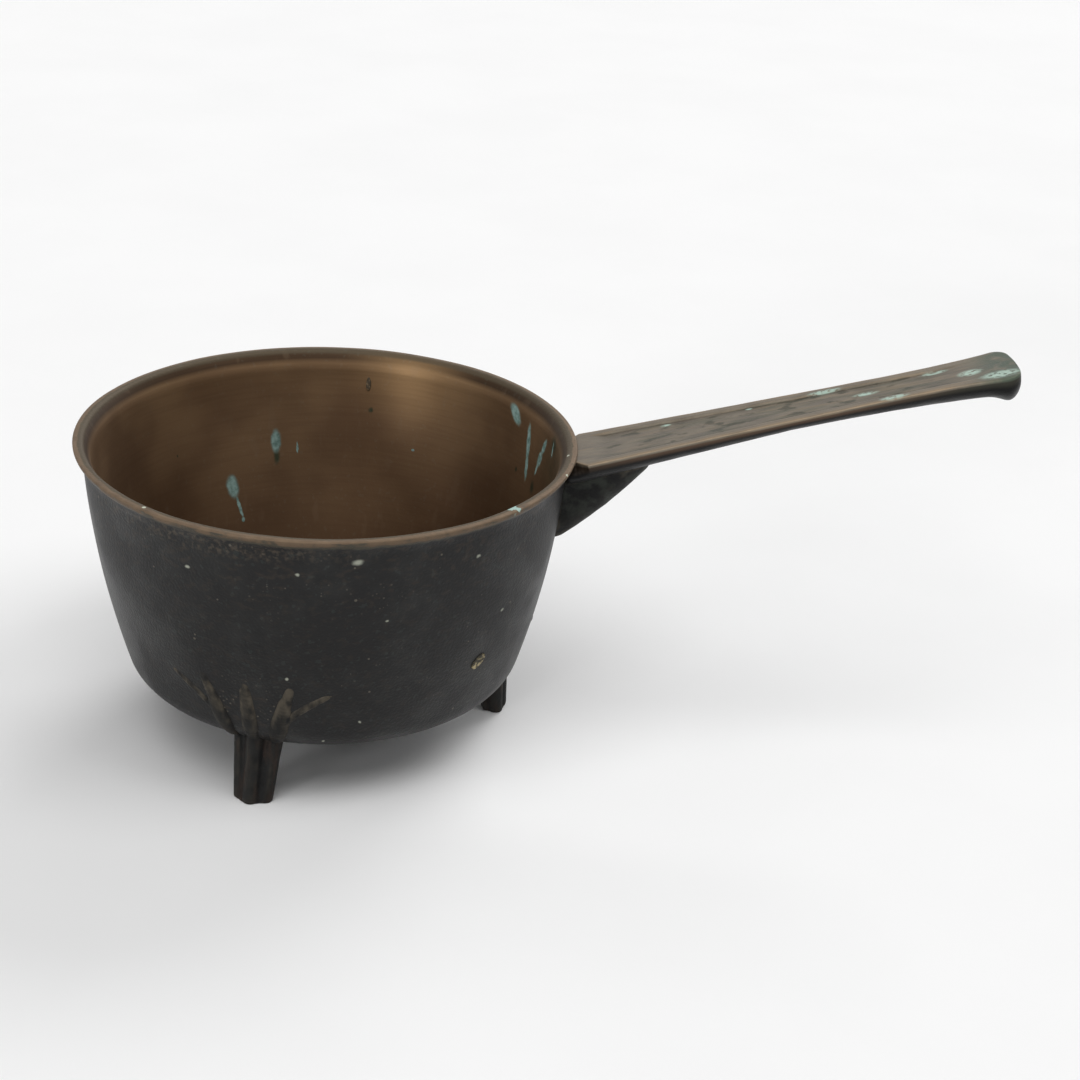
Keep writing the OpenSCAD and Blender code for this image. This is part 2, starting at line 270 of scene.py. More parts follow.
# %% [markdown]
# ## Marks on the wall, laid out flat
#
# Drips and spots lie on a round wall, so they are placed as on a label that has been peeled off:
# degrees round the pan from the handle, and height in mm above the floor. The same map serves the
# inner and the outer face. Each mark is azimuth, height, half width, half height and tilt.

# %% Places of the marks
UNROLL_R = 90.0
LIGHT_GREEN_MARKS = [
    (124.1, 69.0, 3.6, 6.2, -8),
    (122.5, 60.0, 0.9, 6.2, -13),
    (121.8, 54.4, 1.2, 1.4, 0),
    (110.3, 86.0, 2.8, 6.2, 0),
    (37.4, 115.2, 3.4, 6.0, -40),
    (30.1, 107.0, 1.8, 10.0, -6),
    (29.2, 97.0, 1.5, 7.0, -8),
    (20.9, 110.8, 1.7, 5.2, 25),
    (22.6, 104.5, 2.3, 4.6, 18),
    (23.6, 99.5, 0.9, 4.0, 15),
    (14.2, 114.0, 0.9, 4.5, 5),
    (104.3, 82.7, 0.5, 3.0, 0),
    (71.0, 85.0, 0.8, 0.8, 0),
]
DARK_GREEN_MARKS = [
    (110.2, 79.0, 2.0, 4.4, 0),
    (24.2, 91.0, 2.4, 4.0, -10),
    (13.5, 116.5, 5.0, 4.5, 0),
    (34.0, 93.0, 1.0, 1.6, 0),
    (83.9, 99.9, 1.5, 1.6, 0),
    (152.0, 62.0, 0.9, 2.6, 0),
    (141.0, 88.0, 0.7, 0.9, 0),
]
SCRATCHES = [
    (76.0, 61.5, 30.0, 0.45, -7),
    (58.0, 74.0, 16.0, 0.4, 35),
    (66.0, 66.0, 12.0, 0.35, 24),
    (100.0, 92.0, 22.0, 0.4, 4),
]
OUTER_SPECKS = [
    (-77.3, 114.6, 2.6, 1.6, 10),
    (-116.7, 105.2, 1.4, 0.9, 0),
    (-47.6, 108.9, 1.3, 0.9, 0),
    (-70.0, 88.7, 1.0, 0.8, 0),
    (-36.2, 79.2, 1.2, 0.8, 0),
    (-93.5, 62.7, 1.1, 0.9, 0),
    (-74.7, 41.7, 0.8, 0.8, 0),
    (-84.5, 31.9, 1.0, 0.7, 0),
    (-90.5, 109.2, 1.0, 0.8, 0),
]
SCUFFED_BAND = (-112.0, 118.0, 74.0, 6.5, 0)
# a painted highlight on the far inner wall
PAINTED_HIGHLIGHT_PATCH = (73.0, 116.0, 34.0, 26.0, 0)
OLIVE_BLOOM = (8.0, 106.0, 34.0, 26.0, 0)
RIM_PATCH = ((74.0, -59.2, 124.5), (8.0, 3.2, 3.0), (0, 0, -38))
RIM_SPECKS = [(-84.0, -54.1, 124.5), (93.6, -6.7, 124.5), (93.9, -26.1, 124.5), (-58.1, -76.0, 124.5)]
LEG_ANGLES = (-104.8, 15.2, 135.2)


def unroll(tree, at):
    """The pan's wall laid out flat: mm round it from the handle's side, and mm of height."""
    x = add(tree, "SeparateXYZ", {"Vector": at})
    y, z = x.node.outputs["Y"], x.node.outputs["Z"]
    angle = add(tree, "Math", {0: y, 1: x}, operation="ARCTAN2")
    around = add(tree, "Math", {0: angle, 1: UNROLL_R}, operation="MULTIPLY")
    flat = add(tree, "CombineXYZ", {"X": around, "Y": z})
    wobble = add(tree, "TexNoise", {"Vector": at, "Scale": 0.35, "Detail": 3.0}, out="Color")
    centred = add(tree, "VectorMath", {0: wobble, 1: (0.5, 0.5, 0.5)}, operation="SUBTRACT")
    return add(tree, "VectorMath", {0: centred, 1: (1.4, 1.4, 0), 2: flat}, operation="MULTIPLY_ADD")


def marks(tree, flat, places, soft=0.45):
    """One mask for a list of marks on the unrolled wall."""
    mask = None
    for azimuth, height, half_wide, half_high, tilt in places:
        centre = (math.radians(azimuth) * UNROLL_R, height, 0)
        one = spot(tree, flat, centre, (half_wide, half_high, 1), (0, 0, tilt), soft)
        mask = one if mask is None else add(tree, "Math", {0: mask, 1: one}, operation="MAXIMUM")
    return mask


# %% Build the pan's finish


def make_pan_finish():
    material, tree, at = new_finish("cast_bronze_sooted_outside")
    flat = unroll(tree, at)
    inside = add(tree, "Attribute", out="Fac", attribute_name="inside")
    wear = add(tree, "Attribute", out="Fac", attribute_name="wear")
    fray = mottle(tree, at, 5, 0.25, 0.75, detail=6)
    frayed = add(tree, "MapRange", {"Value": fray, "To Min": -0.06, "To Max": 0.06})
    zone = add(tree, "Math", {0: inside, 1: frayed}, operation="ADD")

    # soot: slow patches of grey, brown where it wore thin under the rim, and fine pale specks
    patchy = mottle(tree, at, 9, 0.35, 0.7, detail=8)
    outer = add(tree, "Mix", {0: patchy, 6: SOOT, 7: SOOT_GREY}, out=2, data_type="RGBA")
    burnt = mottle(tree, at, 28, 0.35, 0.62, detail=5)
    outer = add(tree, "Mix", {0: burnt, 6: outer, 7: SOOT_BURNT}, out=2, data_type="RGBA")
    height = add(tree, "SeparateXYZ", {"Vector": at}, out="Z")
    high = add(tree, "MapRange", {
        "Value": height, "From Min": 88.0, "From Max": 118.0, "To Min": 0.4})
    scuffs = mottle(tree, at, 3.5, 0.5, 0.68, stretch=(1, 1, 1.6), detail=8)
    thin = add(tree, "Math", {0: high, 1: scuffs}, operation="MULTIPLY")
    near_legs = marks(tree, flat, [(a, 44, 24, 22, 0) for a in LEG_ANGLES], soft=0.9)
    scuffed = add(tree, "Math", {0: near_legs, 1: scuffs}, operation="MULTIPLY")
    thin = add(tree, "Math", {0: thin, 1: scuffed}, operation="MAXIMUM")
    thin = add(tree, "Math", {0: thin, 1: 0.6}, operation="MULTIPLY")
    outer = add(tree, "Mix", {0: thin, 6: outer, 7: SOOT_BROWN_AND_ROOT_SHADE}, out=2, data_type="RGBA")
    worn = marks(tree, flat, [SCUFFED_BAND], soft=0.7)
    chips = mottle(tree, at, 1.8, 0.46, 0.66, detail=10)
    worn = add(tree, "Math", {0: worn, 1: chips}, operation="MULTIPLY")
    worn = add(tree, "Math", {0: worn, 1: 0.42}, operation="MULTIPLY")
    outer = add(tree, "Mix", {0: worn, 6: outer, 7: SOOT_RUBBED}, out=2, data_type="RGBA")
    drifts = mottle(tree, at, 18, 0.5, 0.7)
    drifts = add(tree, "Math", {0: drifts, 1: high}, operation="MULTIPLY")
    drifts = add(tree, "Math", {0: drifts, 1: near_legs}, operation="MAXIMUM")
    fine = specks(tree, at, 1.3, 0.35)
    dust = add(tree, "Math", {0: fine, 1: drifts}, operation="MULTIPLY")
    dust = add(tree, "Math", {0: dust, 1: 0.45}, operation="MULTIPLY")
    rare = specks(tree, at, 5.0, 0.3, reach=0.13)
    rare = add(tree, "Math", {0: rare, 1: 0.4}, operation="MULTIPLY")
    dust = add(tree, "Math", {0: dust, 1: rare}, operation="MAXIMUM")
    outer = add(tree, "Mix", {0: dust, 6: outer, 7: DUST}, out=2, data_type="RGBA")

    # rim: bare metal with darker pits and brighter rubbed edges
    pits = mottle(tree, at, 2.2, 0.54, 0.74, detail=6)
    rim = add(tree, "Mix", {0: pits, 6: RIM_TAN, 7: RIM_DARK}, out=2, data_type="RGBA")
    rub = add(tree, "Math", {0: wear, 1: fray}, operation="MULTIPLY")
    rim = add(tree, "Mix", {0: rub, 6: rim, 7: RIM_BRIGHT}, out=2, data_type="RGBA")

    # inside: brown patina in slow clouds, with faint rings left by the turning tool
    clouds = mottle(tree, at, 34, 0.3, 0.7, detail=2)
    inner = add(tree, "Mix", {0: clouds, 6: PATINA_BROWN, 7: PATINA_WARM}, out=2, data_type="RGBA")
    # painted shade: the patina darkens deeper in the pan, where the near rim keeps the light off
    deep = add(tree, "MapRange", {"Value": height, "From Min": 100.0, "From Max": 45.0, "To Max": 0.75})
    inner = add(tree, "Mix", {0: deep, 6: inner, 7: PATINA_DARK_AND_SHADE}, out=2, data_type="RGBA")
    # painted light: the patina lightens towards the mouth, where the lamp's glow falls on the upper wall
    painted_top_light = add(tree, "MapRange", {"Value": height, "From Min": 96.0, "From Max": 116.0, "To Max": 0.2})
    inner = add(tree, "Mix", {0: painted_top_light, 6: inner, 7: PATINA_PAINTED_HIGHLIGHT}, out=2, data_type="RGBA")
    # painted shade: the flare just inside the mouth is darkened, dimming the lamp's reflection there
    flared = add(tree, "MapRange", {"Value": inside, "From Min": 1.0, "From Max": 0.86, "To Max": 0.95})
    inner = add(tree, "Mix", {0: flared, 6: inner, 7: PATINA_PAINTED_SHADE}, out=2, data_type="RGBA")
    # painted highlight: a lighter patch on the far inner wall, where the lamp's glow lies
    rubbed = marks(tree, flat, [PAINTED_HIGHLIGHT_PATCH], soft=1.0)
    rubbed = add(tree, "Math", {0: rubbed, 1: 0.6}, operation="MULTIPLY")
    inner = add(tree, "Mix", {0: rubbed, 6: inner, 7: PATINA_PAINTED_HIGHLIGHT}, out=2, data_type="RGBA")
    bloom = marks(tree, flat, [OLIVE_BLOOM], soft=1.0)
    mixed = add(tree, "MapRange", {"Value": fray, "To Min": 0.5, "To Max": 1.0})
    bloom = add(tree, "Math", {0: bloom, 1: mixed}, operation="MULTIPLY")
    inner = add(tree, "Mix", {0: bloom, 6: inner, 7: PATINA_OLIVE}, out=2, data_type="RGBA")
    rings = mottle(tree, at, 26, 0.4, 0.7, stretch=(1, 1, 22), detail=1)
    dulled = add(tree, "Math", {0: rings, 1: 0.14}, operation="MULTIPLY")
    inner = add(tree, "Mix", {0: dulled, 6: inner, 7: PATINA_DARK_AND_SHADE}, out=2, data_type="RGBA")
    drips = mottle(tree, at, 5, 0.58, 0.72, stretch=(1, 1, 0.25), detail=2)
    drips = add(tree, "Math", {0: drips, 1: 0.16}, operation="MULTIPLY")
    inner = add(tree, "Mix", {0: drips, 6: inner, 7: RIM_BRIGHT}, out=2, data_type="RGBA")
    scratched = marks(tree, flat, SCRATCHES, soft=0.9)
    broken = mottle(tree, at, 3, 0.4, 0.7)
    scratched = add(tree, "Math", {0: scratched, 1: broken}, operation="MULTIPLY")
    scratched = add(tree, "Math", {0: scratched, 1: 0.5}, operation="MULTIPLY")
    inner = add(tree, "Mix", {0: scratched, 6: inner, 7: RIM_TAN}, out=2, data_type="RGBA")

    # the zones, from outside over the rim to inside
    to_flare = add(tree, "MapRange", {
        "Value": zone, "From Min": 0.07, "From Max": 0.16}, interpolation_type="SMOOTHSTEP")
    to_rim = add(tree, "MapRange", {
        "Value": zone, "From Min": 0.2, "From Max": 0.28}, interpolation_type="SMOOTHSTEP")
    to_bevel = add(tree, "MapRange", {
        "Value": zone, "From Min": 0.56, "From Max": 0.62}, interpolation_type="SMOOTHSTEP")
    to_inner = add(tree, "MapRange", {
        "Value": inside, "From Min": 0.66, "From Max": 0.78}, interpolation_type="SMOOTHSTEP")
    colour = add(tree, "Mix", {0: to_flare, 6: outer, 7: FLARE_OLIVE}, out=2, data_type="RGBA")
    colour = add(tree, "Mix", {0: to_rim, 6: colour, 7: rim}, out=2, data_type="RGBA")
    colour = add(tree, "Mix", {0: to_bevel, 6: colour, 7: BEVEL_OLIVE}, out=2, data_type="RGBA")
    colour = add(tree, "Mix", {0: to_inner, 6: colour, 7: inner}, out=2, data_type="RGBA")

    # verdigris: ragged spots with deeper edges, and black-green stains
    ragged = mottle(tree, at, 2.2, 0.3, 0.65, detail=6)
    stained = marks(tree, flat, DARK_GREEN_MARKS, soft=0.8)
    stained = add(tree, "Math", {0: stained, 1: to_inner}, operation="MULTIPLY")
    colour = add(tree, "Mix", {0: stained, 6: colour, 7: GREEN_BLACK}, out=2, data_type="RGBA")
    green = marks(tree, flat, LIGHT_GREEN_MARKS)
    crust = add(tree, "Math", {0: green, 1: ragged}, operation="MULTIPLY")
    tint = add(tree, "Mix", {0: crust, 6: VERDIGRIS_DEEP, 7: VERDIGRIS}, out=2, data_type="RGBA")
    green = add(tree, "Math", {0: green, 1: to_inner}, operation="MULTIPLY")
    colour = add(tree, "Mix", {0: green, 6: colour, 7: tint}, out=2, data_type="RGBA")
    centre, radii, turn = RIM_PATCH
    patch = spot(tree, at, centre, radii, turn, soft=0.9)
    patch = add(tree, "Math", {0: patch, 1: ragged}, operation="ADD")
    patch = add(tree, "MapRange", {
        "Value": patch, "From Min": 0.98, "From Max": 1.24}, interpolation_type="SMOOTHSTEP")
    colour = add(tree, "Mix", {0: patch, 6: colour, 7: RIM_GREEN}, out=2, data_type="RGBA")

    # lime specks on the sooted wall and the rim
    outward = add(tree, "Math", {0: 1.0, 1: to_bevel}, operation="SUBTRACT")
    pale = marks(tree, flat, OUTER_SPECKS, soft=0.8)
    pale = add(tree, "Math", {0: pale, 1: outward}, operation="MULTIPLY")
    pale = add(tree, "Math", {0: pale, 1: 0.6}, operation="MULTIPLY")
    for centre in RIM_SPECKS:
        one = spot(tree, at, centre, (0.9, 0.9, 0.9))
        pale = add(tree, "Math", {0: pale, 1: one}, operation="MAXIMUM")
    colour = add(tree, "Mix", {0: pale, 6: colour, 7: PALE_SPECK}, out=2, data_type="RGBA")

    # soot and verdigris are crusts, the rest is metal under a thin patina
    crusted = add(tree, "Math", {0: green, 1: patch}, operation="MAXIMUM")
    dull = add(tree, "MapRange", {"Value": to_inner, "To Min": 0.4, "To Max": 0.7})
    bare = add(tree, "Math", {0: to_rim, 1: dull}, operation="MULTIPLY")
    metallic = add(tree, "Mix", {0: crusted, 2: bare, 3: 0.0}, data_type="FLOAT")
    rough_inner = add(tree, "MapRange", {"Value": clouds, "To Min": 0.42, "To Max": 0.5})
    rough_outer = add(tree, "MapRange", {"Value": burnt, "To Min": 0.4, "To Max": 0.54})
    roughness = add(tree, "Mix", {0: to_rim, 2: rough_outer, 3: 0.64}, data_type="FLOAT")
    roughness = add(tree, "Mix", {0: to_inner, 2: roughness, 3: rough_inner}, data_type="FLOAT")
    roughness = add(tree, "Mix", {0: crusted, 2: roughness, 3: 0.9}, data_type="FLOAT")

    # the turning tool left rings inside, which draw a highlight out up and down the wall
    brushed = add(tree, "Math", {0: to_inner, 1: 0.65}, operation="MULTIPLY")
    rings_round = add(tree, "Tangent", direction_type="RADIAL", axis="Z")

    grain = mottle(tree, at, 1.1, 0.2, 0.8, detail=3)
    scale = add(tree, "MapRange", {"Value": to_inner, "To Min": 0.4, "To Max": 0.06})
    height = add(tree, "Math", {0: grain, 1: scale}, operation="MULTIPLY")
    bump = add(tree, "Bump", {"Height": height, "Distance": 0.4 * MM, "Strength": 0.6})
    shader = add(tree, "BsdfPrincipled", {
        "Base Color": colour, "Metallic": metallic, "Roughness": roughness, "Normal": bump,
        "Specular IOR Level": 0.28, "Anisotropic": brushed, "Anisotropic Rotation": 0.25,
        "Tangent": rings_round})
    add(tree, "OutputMaterial", {"Surface": shader})
    return material


PAN_FINISH = make_pan_finish()
print("finish:", PAN_FINISH.name)

# %% [markdown]
# ## The pan
#
# Seen in half, the pan is one closed outline. It could be lofted from rings, but it was turned on a
# wheel against a template, so here one vertex is spun round each arc's centre, as a compass would,
# and the finished outline is spun once round the axis. The rim's corners are bevelled while they
# are still corners of a line, which costs nothing and leaves them perfectly round. Both faces of
# the wall come from the same centres, so its thickness is true everywhere.

# %% Draw the outline and spin it
OUTLINE_STEPS = 26
CORNER_STEPS = 14
DISH_STEPS = 18
ROUND_STEPS = 5
PAN_SEGMENTS = 288


def draw_arc(bm, start, centre, sweep, steps):
    """Spins one vertex about centre in the plane y = 0 and returns the arc's vertices, start first."""
    known = set(bm.verts)
    made = bmesh.ops.spin(
        bm, geom=[start], cent=centre, axis=(0, 1, 0), angle=sweep, steps=steps, use_merge=False)
    last = [g for g in made["geom_last"] if isinstance(g, bmesh.types.BMVert)][0]
    return [start] + sorted(set(bm.verts) - known - {last}, key=lambda v: v.index) + [last]


def draw_face(bm, depth):
    """One face of the pan from the mouth to the axis, depth mm inside the outer face."""
    r = wall_arc_r - depth
    reach = Vector((math.cos(mouth_lean), 0, -math.sin(mouth_lean)))
    line = [bm.verts.new(wall_centre + r * reach)]
    first = line[0]
    for centre, sweep, steps in (
        (wall_centre, base_lean - mouth_lean, OUTLINE_STEPS),
        (corner_centre, math.pi / 2 - dish_slope - base_lean, CORNER_STEPS),
        (dish_centre, dish_slope, DISH_STEPS),
    ):
        line += draw_arc(bm, line[-1], centre, sweep, steps)[1:]
    return first, line


def make_pan():
    bm = bmesh.new()
    inside = bm.verts.layers.float.new("inside")
    wear = bm.verts.layers.float.new("wear")
    outer_mouth, outer_line = draw_face(bm, 0)
    inner_mouth, inner_line = draw_face(bm, WALL_T)
    for v in inner_line:
        v[inside] = 1.0
    rim = [
        bm.verts.new((RIM_R, 0, RIM_HEIGHT - RIM_EDGE)),
        bm.verts.new((RIM_R, 0, RIM_HEIGHT)),
        bm.verts.new((RIM_R - RIM_FLAT, 0, RIM_HEIGHT)),
    ]
    for v, share, rub in zip(rim, (0.25, 0.4, 0.7), (0.3, 0.8, 0.8)):
        v[inside] = share
        v[wear] = rub
    path = [outer_mouth, *rim, inner_mouth]
    for a, b in zip(path, path[1:]):
        bm.edges.new((a, b))
    for v, r in zip(rim, (0.9, 0.75, 1.1)):
        bmesh.ops.bevel(
            bm, geom=[v], offset=r, offset_type="OFFSET", affect="VERTICES",
            segments=ROUND_STEPS, profile=0.5, material=-1)
    bmesh.ops.spin(
        bm, geom=bm.verts[:] + bm.edges[:], cent=(0, 0, 0), axis=(0, 0, 1),
        angle=2 * math.pi, steps=PAN_SEGMENTS, use_merge=True)
    bmesh.ops.remove_doubles(bm, verts=bm.verts, dist=0.001)
    bmesh.ops.recalc_face_normals(bm, faces=bm.faces)
    hand_made(bm, 0.12, 24)
    return finish_piece(bm, "pan_shell", PAN_FINISH, "pan_bronze", "pan")


pan_shell = make_pan()

# %% [markdown]
# ## Finish: bronze of the handle
#
# The handle's top is bare bronze gone dull brown. Its two raised borders are rubbed to tan by hands
# and cloths, while the sunk field between them keeps its dirt and has turned green in streaks. The
# sides darken towards the belly, which is nearly black, and painted shade darkens them beside the
# rim. A second mapping turns the place into the handle's own frame, so that the streaks run along it.

# %% Sizes of the handle
HANDLE_LENGTH = 170.5
HANDLE_RISE = math.radians(15.8)
HANDLE_STEP = 0.7
ROOT_WIDTH = 34.4
WAIST_WIDTH = 24.8
WAIST_AT = 125.0
END_WIDTH = 32.4
ROOT_DEPTH = 11.0
THIN_DEPTH = 7.3
THIN_AT = 82.0
END_DEPTH = 11.3
LIP_DEPTH = 2.7
LIP_REACH = 4.5
END_ROUND = 6.5
LIP_ROUND = 4.8
END_BOW = 1.6
END_REACH = 25.0
END_RAKE = math.radians(3)
END_SKEW = math.radians(7)
ARRIS = 0.8
BORDER_WIDTH = 3.8
FIELD_DEPTH = 0.8
FIELD_START = 3.5
FIELD_MARGIN = 19.0
FIELD_RAMP = 8.0
FIELD_FADE = 30.0
ROOT_LINE = 2.2
ROOT_SKEW = math.radians(6.6)
ROOT_NOTCH = 1.15
HANDLE_ROOT = Vector((RIM_R, 0, RIM_HEIGHT - HANDLE_STEP))

# %% Colours of the handle
HANDLE_BROWN = linear("#5f574c")
HANDLE_GREY = linear("#726a5e")
HANDLE_TAN = linear("#7f6f5b")
FIELD_GREEN = linear("#424537")
PATCH_DARK = linear("#2a2c20")
GROOVE_DARK = linear("#211e17")
SIDE_BROWN = linear("#524236")
SIDE_DARK = linear("#34332c")
END_GREEN = linear("#3f4d42")
PATINA_GREEN = linear("#9fb5a8")
HANDLE_GREEN = [
    ((123, -10.5, 0), (7, 2.2, 3)),
    ((113, 0, 0), (6.5, 2.3, 3)),
    ((98, 9.2, 0), (8, 1.6, 3)),
    ((153, -1.5, 0), (6, 3.6, 3)),
    ((164, -9, 0), (10, 4.2, 4)),
    ((140, 6.5, 0), (7, 2.0, 3)),
    ((68, 8.5, 0), (2, 1, 3)),
    ((35, 9, 0), (3, 1.4, 3)),
]

# %% Build the handle's finish


def make_handle_finish():
    material, tree, at = new_finish("rubbed_bronze_with_patina")
    local = add(tree, "Mapping", {
        "Vector": at, "Location": HANDLE_ROOT, "Rotation": (0, -HANDLE_RISE, 0),
        "Scale": (1, 1, 1)}, vector_type="TEXTURE")
    wear = add(tree, "Attribute", out="Fac", attribute_name="wear")
    field = add(tree, "Attribute", out="Fac", attribute_name="field")
    belly = add(tree, "Attribute", out="Fac", attribute_name="belly")

    clouds = mottle(tree, local, 6, 0.35, 0.65, stretch=(0.4, 1, 1))
    colour = add(tree, "Mix", {
        0: clouds, 6: HANDLE_BROWN, 7: HANDLE_GREY}, out=2, data_type="RGBA")
    streaks = mottle(tree, local, 4, 0.45, 0.62, stretch=(0.18, 1, 1), detail=6)
    greened = add(tree, "Math", {0: streaks, 1: field}, operation="MULTIPLY")
    greened = add(tree, "Math", {0: greened, 1: 0.5}, operation="MULTIPLY")
    colour = add(tree, "Mix", {0: greened, 6: colour, 7: FIELD_GREEN}, out=2, data_type="RGBA")
    lines = mottle(tree, local, 1.6, 0.5, 0.66, stretch=(0.07, 1, 1), detail=3)
    lines = add(tree, "Math", {0: lines, 1: 0.45}, operation="MULTIPLY")
    colour = add(tree, "Mix", {0: lines, 6: colour, 7: HANDLE_TAN}, out=2, data_type="RGBA")
    patches = mottle(tree, local, 5, 0.55, 0.66, stretch=(0.5, 1, 1), detail=8)
    patches = add(tree, "Math", {0: patches, 1: field}, operation="MULTIPLY")
    patches = add(tree, "Math", {0: patches, 1: 0.65}, operation="MULTIPLY")
    colour = add(tree, "Mix", {0: patches, 6: colour, 7: PATCH_DARK}, out=2, data_type="RGBA")

    # borders rub to tan, and the hollows beside them are darker, most by the near border
    rubbed = add(tree, "MapRange", {
        "Value": wear, "From Min": 0.0, "From Max": 1.0}, interpolation_type="SMOOTHSTEP")
    uneven = mottle(tree, local, 7, 0.35, 0.62, stretch=(0.35, 1, 1), detail=6)
    uneven = add(tree, "MapRange", {"Value": uneven, "To Min": 0.35})
    rubbed = add(tree, "Math", {0: rubbed, 1: uneven}, operation="MULTIPLY")
    colour = add(tree, "Mix", {0: rubbed, 6: colour, 7: HANDLE_TAN}, out=2, data_type="RGBA")
    hollow = add(tree, "MapRange", {
        "Value": wear, "From Min": -0.05, "From Max": -1.0}, interpolation_type="SMOOTHSTEP")
    hollow = add(tree, "Math", {0: hollow, 1: 0.7}, operation="MULTIPLY")
    colour = add(tree, "Mix", {0: hollow, 6: colour, 7: GROOVE_DARK}, out=2, data_type="RGBA")

    # green patina gathers at the flared end
    along = add(tree, "SeparateXYZ", {"Vector": local})
    endward = add(tree, "MapRange", {
        "Value": along, "From Min": 148.0, "From Max": 166.0}, interpolation_type="SMOOTHSTEP")
    ends = mottle(tree, local, 6, 0.22, 0.55, detail=6)
    endward = add(tree, "Math", {0: endward, 1: ends}, operation="MULTIPLY")
    endward = add(tree, "Math", {0: endward, 1: 0.85}, operation="MULTIPLY")
    colour = add(tree, "Mix", {0: endward, 6: colour, 7: END_GREEN}, out=2, data_type="RGBA")

    # the sides and the belly
    down = add(tree, "MapRange", {
        "Value": belly, "From Min": 0.0, "From Max": 0.05}, interpolation_type="SMOOTHSTEP")
    under = add(tree, "MapRange", {
        "Value": belly, "From Min": 0.04, "From Max": 0.22}, interpolation_type="SMOOTHSTEP")
    far_out = add(tree, "MapRange", {"Value": along, "From Min": 110.0, "From Max": 150.0})
    side = add(tree, "Mix", {0: far_out, 6: SIDE_BROWN, 7: SIDE_DARK}, out=2, data_type="RGBA")
    # painted shade: the sides darken beside the rim, where handle and pan meet
    root_shade = add(tree, "MapRange", {"Value": along, "From Min": 26.0, "From Max": 3.0, "To Max": 0.85})
    side = add(tree, "Mix", {0: root_shade, 6: side, 7: SOOT_BROWN_AND_ROOT_SHADE}, out=2, data_type="RGBA")
    colour = add(tree, "Mix", {0: down, 6: colour, 7: side}, out=2, data_type="RGBA")
    colour = add(tree, "Mix", {0: under, 6: colour, 7: SOOT}, out=2, data_type="RGBA")

    ragged = mottle(tree, local, 1.5, 0.36, 0.52, stretch=(0.7, 1, 1), detail=10)
    green = None
    for centre, radii in HANDLE_GREEN:
        one = spot(tree, local, centre, radii, soft=0.65)
        green = one if green is None else add(tree, "Math", {0: green, 1: one}, operation="MAXIMUM")
    crust = add(tree, "Math", {0: green, 1: ragged}, operation="MULTIPLY")
    colour = add(tree, "Mix", {0: crust, 6: colour, 7: PATINA_GREEN}, out=2, data_type="RGBA")

    metallic = add(tree, "MapRange", {"Value": crust, "To Min": 0.75, "To Max": 0.0})
    roughness = add(tree, "MapRange", {"Value": clouds, "To Min": 0.42, "To Max": 0.55})
    grain = mottle(tree, local, 1.0, 0.2, 0.8, detail=3)
    bump = add(tree, "Bump", {"Height": grain, "Distance": 0.1 * MM, "Strength": 0.5})
    shader = add(tree, "BsdfPrincipled", {
        "Base Color": colour, "Metallic": metallic, "Roughness": roughness, "Normal": bump})
    add(tree, "OutputMaterial", {"Surface": shader})
    return material


HANDLE_FINISH = make_handle_finish()
print("finish:", HANDLE_FINISH.name)

# %% [markdown]
# ## The handle
#
# The handle widens at both ends, thins in the middle and ends in a lip. A sheet of paper could be
# wrapped round it, and that is how it is made: a flat grid has one row of vertices for each station
# along the handle and one column for each point round it, and every vertex is moved to where it
# belongs. The columns crowd at the edges, where the shape turns sharply, and the rows crowd at the
# field's ends and at the tip. Then the sheet's long edges are merged and its ends are closed.

# %% Width, depth and section of the handle


def smooth(x):
    """0 below 0, 1 above 1, and an even S between."""
    x = min(max(x, 0), 1)
    return x * x * (3 - 2 * x)


def root_share(s, at):
    return min((at - s) / at, 1) if s < at else 0


def tip_share(s, at):
    return (s - at) / (HANDLE_LENGTH - at) if s > at else 0


def half_width(s):
    return (WAIST_WIDTH
            + (ROOT_WIDTH - WAIST_WIDTH) * root_share(s, WAIST_AT) ** 1.3
            + (END_WIDTH - WAIST_WIDTH) * tip_share(s, WAIST_AT) ** 3) / 2


def depth_at(s):
    lip_at = HANDLE_LENGTH - LIP_ROUND
    return (THIN_DEPTH
            + (ROOT_DEPTH - THIN_DEPTH) * root_share(s, THIN_AT)
            + (END_DEPTH - THIN_DEPTH) * tip_share(s, THIN_AT) ** 1.7
            + LIP_DEPTH * math.exp(-((s - lip_at) / LIP_REACH) ** 2))


def tip_inset(s, r):
    """How far the rounded tip draws a section in."""
    over = max(s - HANDLE_LENGTH + r, 0)
    return r - math.sqrt(max(r ** 2 - over ** 2, 0))


def field_share(s):
    """How deep the sunk field is at distance s: a crisp start, then a slow fade to the flared end."""
    end = HANDLE_LENGTH - FIELD_MARGIN + FIELD_FADE / 3
    return smooth((s - FIELD_START) / FIELD_RAMP) * smooth((end - s) / FIELD_FADE)


def root_edge(across):
    """Where the handle's top ends beside the rim. It runs a little askew."""
    return ROOT_LINE - math.tan(ROOT_SKEW) * across


BORDER_STEPS = 5
FLOOR_STEPS = 10
ARRIS_STEPS = 4
BELLY_STEPS = 34
SLOPE = 1.1
DIRT_WIDTH = 2.2


